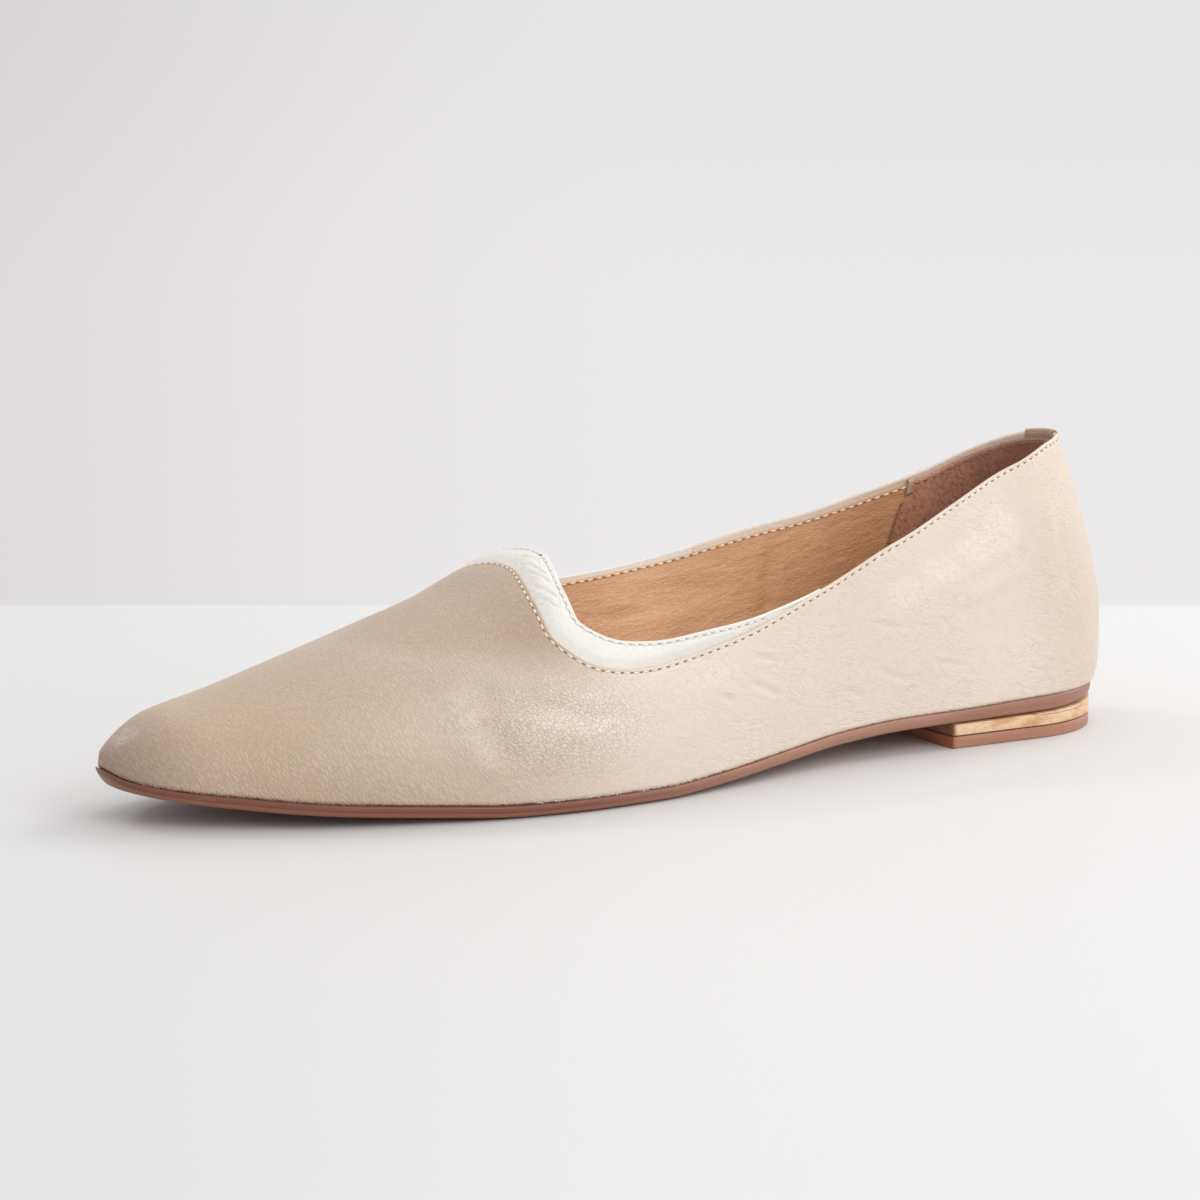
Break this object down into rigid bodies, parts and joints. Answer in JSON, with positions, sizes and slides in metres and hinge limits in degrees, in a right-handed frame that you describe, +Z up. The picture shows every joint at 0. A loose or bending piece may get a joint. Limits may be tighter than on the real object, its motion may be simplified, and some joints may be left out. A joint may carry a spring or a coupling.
{
  "type": "flat shoe",
  "caption": "Pointed flat shoe for the left foot: hollow leather upper with a cream band round the throat, a thin sole with toe spring and a low stacked heel.",
  "frame": {"origin": "on the floor under the middle of the shoe's bounding box", "axes": "+X from the toe to the heel, +Y from the lateral to the medial side, +Z up"},
  "size_m": [0.27, 0.0784, 0.0743],
  "materials": {
    "nude_leather": "fine-grained smooth leather, soft sheen",
    "cream_leather": "smooth cream leather, soft sheen",
    "brown_sole": "dyed and burnished sole leather, satin",
    "tan_heel": "bare stacked fibre board, matt",
    "tan_lining": "smooth tan lining leather, matt"
  },
  "bodies": {
    "root": {"outsole": "brown_sole", "heel_top_piece": "brown_sole", "heel_stack": "tan_heel", "heel_wedge": "tan_heel", "insole": "tan_lining", "upper": "nude_leather", "collar_trim": "cream_leather", "back_strip": "nude_leather"}
  },
  "joints": []
}
